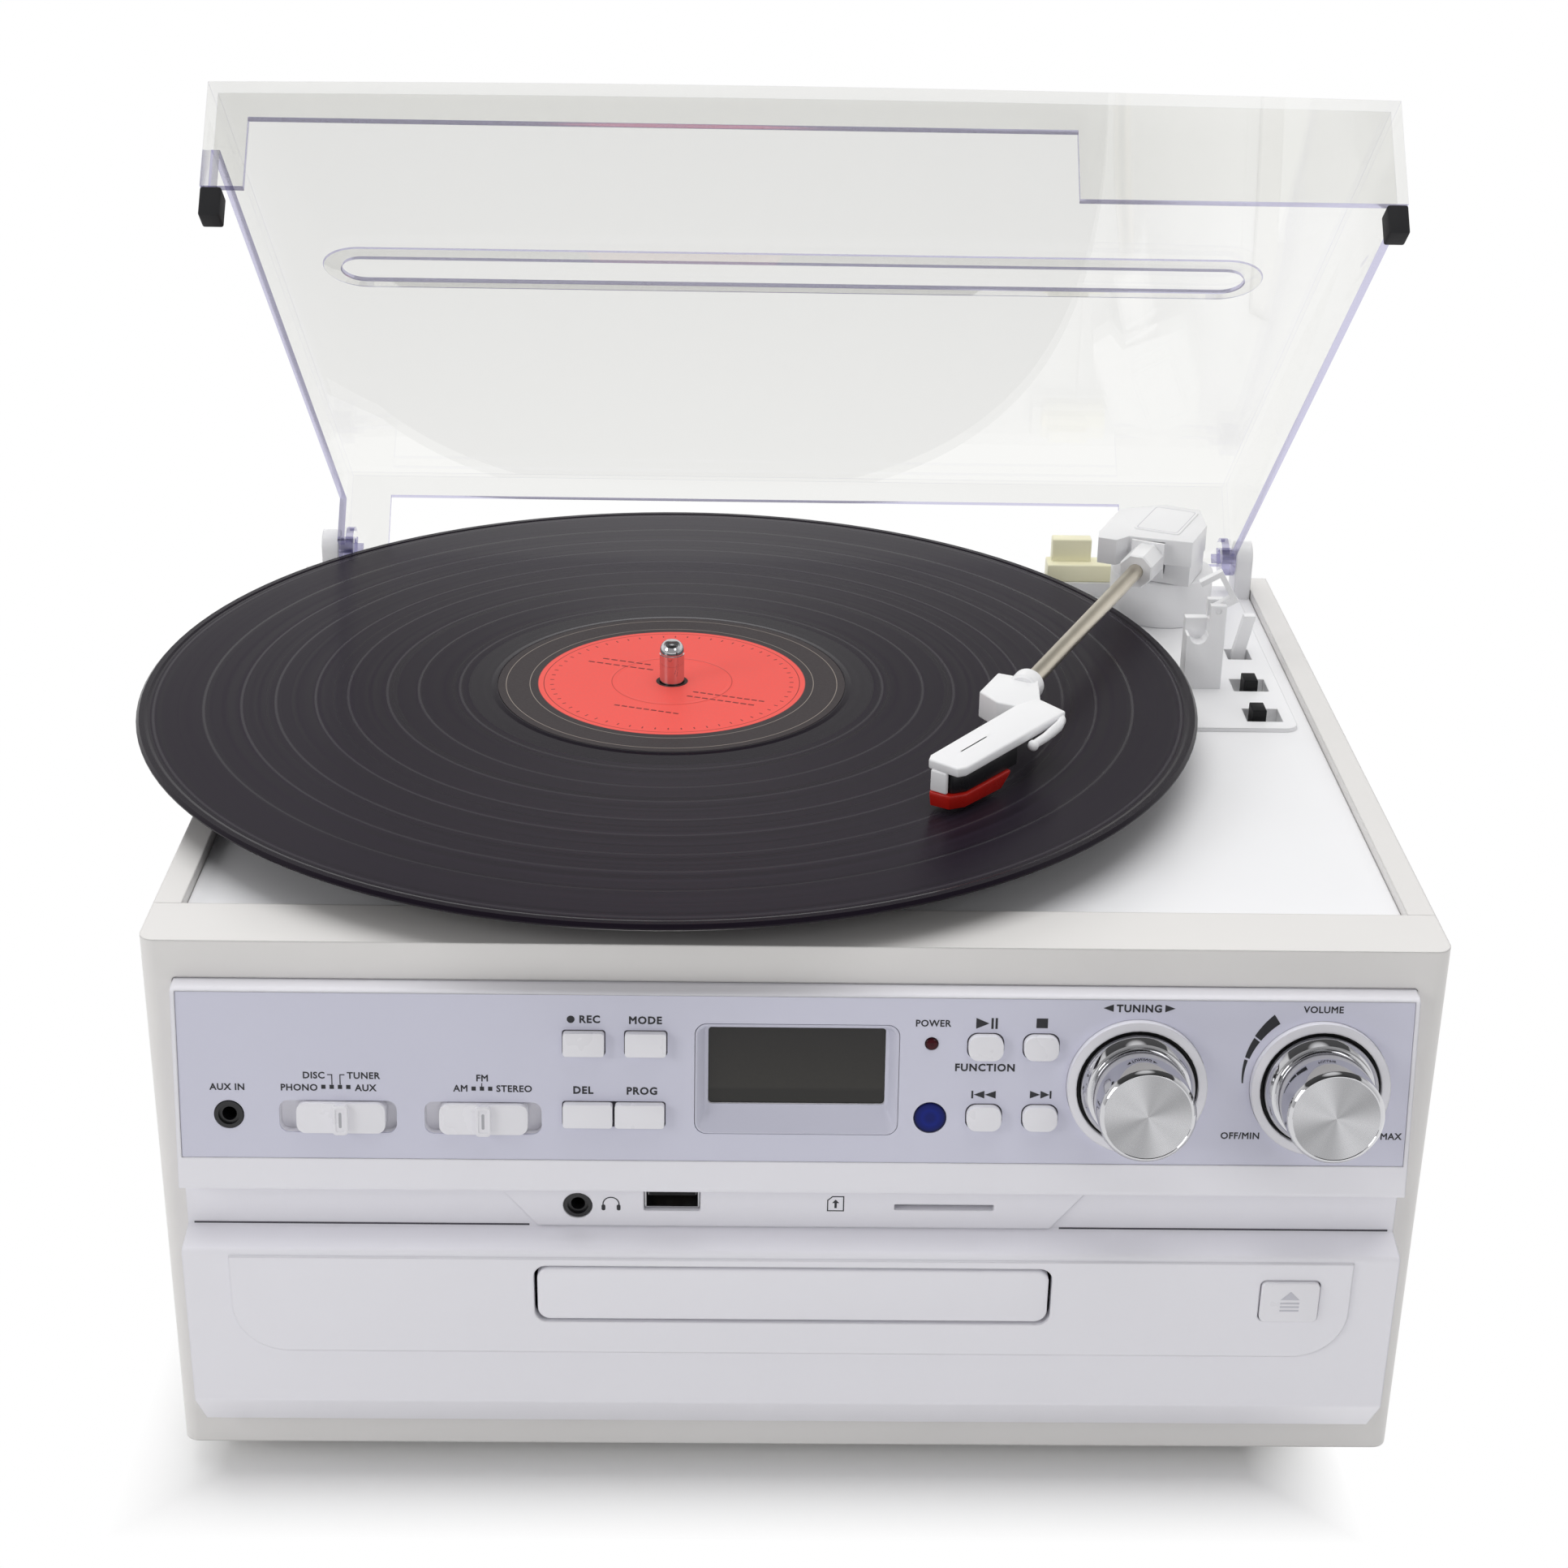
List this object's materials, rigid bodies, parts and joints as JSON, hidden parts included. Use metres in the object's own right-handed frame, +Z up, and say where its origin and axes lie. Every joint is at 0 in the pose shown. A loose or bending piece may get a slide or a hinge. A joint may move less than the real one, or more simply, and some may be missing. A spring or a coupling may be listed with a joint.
{
  "type": "stereo music centre",
  "caption": "White table-top stereo music centre with turntable, disc tray, display, sliders, knobs, buttons and a hinged clear lid",
  "frame": {"origin": "middle of the whole object's box in X and Y, on the surface it stands on", "axes": "X to the right seen from the front, Y to the back, Z up"},
  "size_m": [0.346, 0.3212, 0.3467],
  "materials": {
    "case_paint": "satin white lacquer over fibreboard",
    "foot_rubber": "matte black",
    "screw_steel": "zinc plated",
    "deck_plastic": "moulded white, half gloss",
    "bush_brass": "turned",
    "motor_steel": "plain",
    "belt_rubber": "matte black",
    "pulley_brass": "turned",
    "platter_aluminium": "cast and turned",
    "mat_rubber": "ribbed matte",
    "spindle_chrome": "polished",
    "record_vinyl": "grooved black vinyl",
    "label_paper": "coated red paper",
    "arm_metal": "champagne anodised",
    "fascia_plastic": "moulded off-white, half gloss",
    "cartridge_black": "moulded black",
    "stylus_red": "moulded red",
    "cream_plastic": "moulded cream",
    "plate_plastic": "printed lavender grey",
    "display_dark": "dark display window",
    "lamp_red": "clear dark red",
    "remote_blue": "deep blue filter",
    "socket_black": "moulded black",
    "socket_steel": "pressed",
    "board_green": "lacquered board",
    "button_plastic": "moulded off-white",
    "knob_aluminium": "spun face, bright sides",
    "tray_grey": "moulded dark grey",
    "mechanism_dark": "moulded",
    "speaker_black": "paper cone in a pressed frame",
    "lid_clear": "clear acrylic"
  },
  "bodies": {
    "case": {"front_frame": "case_paint", "side_boards": "case_paint", "base_board": "case_paint", "rear_board": "case_paint", "feet": "foot_rubber", "case_screws": "screw_steel", "top_deck": "deck_plastic", "bearing_bush": "bush_brass", "drive_motor": "motor_steel", "drive_belt": "belt_rubber", "arm_base": "deck_plastic", "arm_rest": "deck_plastic", "adapter_stand": "cream_plastic", "fascia": "fascia_plastic", "control_plate": "plate_plastic", "display_window": "display_dark", "power_lamp": "lamp_red", "remote_window": "remote_blue", "jack_sockets": "socket_black", "media_sockets": "socket_steel", "rotary_controls": "motor_steel", "circuit_boards": "board_green", "disc_mechanism": "mechanism_dark", "speakers": "speaker_black", "transformer": "motor_steel", "mains_inlet": "socket_black", "line_outputs": "bush_brass"},
    "turntable": {"platter": "platter_aluminium", "platter_mat": "mat_rubber", "spindle": "spindle_chrome", "record": "record_vinyl", "record_label": "label_paper"},
    "pulley": {"motor_pulley": "pulley_brass"},
    "arm_yaw": {"arm_housing": "deck_plastic"},
    "arm": {"arm_sleeve": "deck_plastic", "arm_tube": "arm_metal", "headshell": "fascia_plastic", "cartridge": "cartridge_black", "stylus": "stylus_red"},
    "clip": {"rest_clip": "deck_plastic"},
    "lift_lever": {"cue_lever": "deck_plastic"},
    "speed_switch": {"speed_knob": "cartridge_black"},
    "auto_switch": {"stop_knob": "cartridge_black"},
    "record_key": {"record_button": "button_plastic"},
    "mode_key": {"mode_button": "button_plastic"},
    "delete_key": {"delete_button": "button_plastic"},
    "program_key": {"program_button": "button_plastic"},
    "play_key": {"play_button": "button_plastic"},
    "stop_key": {"stop_button": "button_plastic"},
    "previous_key": {"previous_button": "button_plastic"},
    "next_key": {"next_button": "button_plastic"},
    "eject_key": {"eject_button": "button_plastic"},
    "function_switch": {"function_slider": "button_plastic"},
    "band_switch": {"band_slider": "button_plastic"},
    "tuning": {"tuning_knob": "knob_aluminium"},
    "volume": {"volume_knob": "knob_aluminium"},
    "tray": {"disc_tray": "tray_grey", "tray_door": "fascia_plastic"},
    "cover": {"lid": "lid_clear", "lid_bumpers": "foot_rubber"}
  },
  "joints": [
    {"name": "lid_hinge", "type": "hinge", "parent": "case", "child": "cover", "pos_m": [0.013, 0.12458, 0.168], "axis": [1, 0, 0], "range_deg": [0, 41.5]},
    {"name": "platter_spin", "type": "hinge", "parent": "case", "child": "turntable", "pos_m": [-0.022, 0.00958, 0.155], "axis": [0, 0, 1], "continuous": true},
    {"name": "pulley_spin", "type": "hinge", "parent": "case", "child": "pulley", "pos_m": [-0.09717, -0.01778, 0.1574], "axis": [0, 0, 1], "continuous": true},
    {"name": "arm_swing", "type": "hinge", "parent": "case", "child": "arm_yaw", "pos_m": [0.1335, 0.10508, 0.171], "axis": [0, 0, 1], "range_deg": [-17, 26.3]},
    {"name": "arm_lift", "type": "hinge", "parent": "arm_yaw", "child": "arm", "pos_m": [0.1335, 0.10508, 0.18], "axis": [-0.91, 0.4147, 0], "range_deg": [0, 2.8]},
    {"name": "cue_lever_turn", "type": "hinge", "parent": "case", "child": "lift_lever", "pos_m": [0.1531, 0.06868, 0.149], "axis": [1, 0, 0], "range_deg": [0, 22]},
    {"name": "rest_clip_turn", "type": "hinge", "parent": "case", "child": "clip", "pos_m": [0.14055, 0.04311, 0.1812], "axis": [0, -1, 0], "range_deg": [0, 60]},
    {"name": "speed_select", "type": "slide", "parent": "case", "child": "speed_switch", "axis": [1, 0, 0], "range_m": [-0.0026, 0.0026]},
    {"name": "auto_stop_select", "type": "slide", "parent": "case", "child": "auto_switch", "axis": [1, 0, 0], "range_m": [0, 0.003]},
    {"name": "record_press", "type": "slide", "parent": "case", "child": "record_key", "axis": [0, 0.9869, -0.1616], "range_m": [0, 0.0008], "stiffness_N_per_m": 400},
    {"name": "mode_press", "type": "slide", "parent": "case", "child": "mode_key", "axis": [0, 0.9869, -0.1616], "range_m": [0, 0.0008], "stiffness_N_per_m": 400},
    {"name": "delete_press", "type": "slide", "parent": "case", "child": "delete_key", "axis": [0, 0.9869, -0.1616], "range_m": [0, 0.0008], "stiffness_N_per_m": 400},
    {"name": "program_press", "type": "slide", "parent": "case", "child": "program_key", "axis": [0, 0.9869, -0.1616], "range_m": [0, 0.0008], "stiffness_N_per_m": 400},
    {"name": "play_press", "type": "slide", "parent": "case", "child": "play_key", "axis": [0, 0.9869, -0.1616], "range_m": [0, 0.0008], "stiffness_N_per_m": 400},
    {"name": "stop_press", "type": "slide", "parent": "case", "child": "stop_key", "axis": [0, 0.9869, -0.1616], "range_m": [0, 0.0008], "stiffness_N_per_m": 400},
    {"name": "previous_press", "type": "slide", "parent": "case", "child": "previous_key", "axis": [0, 0.9869, -0.1616], "range_m": [0, 0.0008], "stiffness_N_per_m": 400},
    {"name": "next_press", "type": "slide", "parent": "case", "child": "next_key", "axis": [0, 0.9869, -0.1616], "range_m": [0, 0.0008], "stiffness_N_per_m": 400},
    {"name": "eject_press", "type": "slide", "parent": "case", "child": "eject_key", "axis": [0, 1, 0], "range_m": [0, 0.0008], "stiffness_N_per_m": 400},
    {"name": "function_select", "type": "slide", "parent": "case", "child": "function_switch", "axis": [1, 0, 0], "range_m": [-0.0041, 0.00205]},
    {"name": "band_select", "type": "slide", "parent": "case", "child": "band_switch", "axis": [1, 0, 0], "range_m": [-0.00205, 0.00205]},
    {"name": "tuning_turn", "type": "hinge", "parent": "case", "child": "tuning", "pos_m": [0.0964, -0.13905, 0.1247], "axis": [0, -0.9869, 0.1616], "continuous": true},
    {"name": "volume_turn", "type": "hinge", "parent": "case", "child": "volume", "pos_m": [0.1415, -0.13905, 0.1247], "axis": [0, -0.9869, 0.1616], "range_deg": [-150, 150]},
    {"name": "tray_slide", "type": "slide", "parent": "case", "child": "tray", "axis": [0, -1, 0], "range_m": [0, 0.128]}
  ],
  "couplings": [
    {"joint": "pulley_spin", "follows": "platter_spin", "ratio": 12.277},
    {"joint": "cue_lever_turn", "follows": "arm_lift", "ratio": 7.8571}
  ]
}
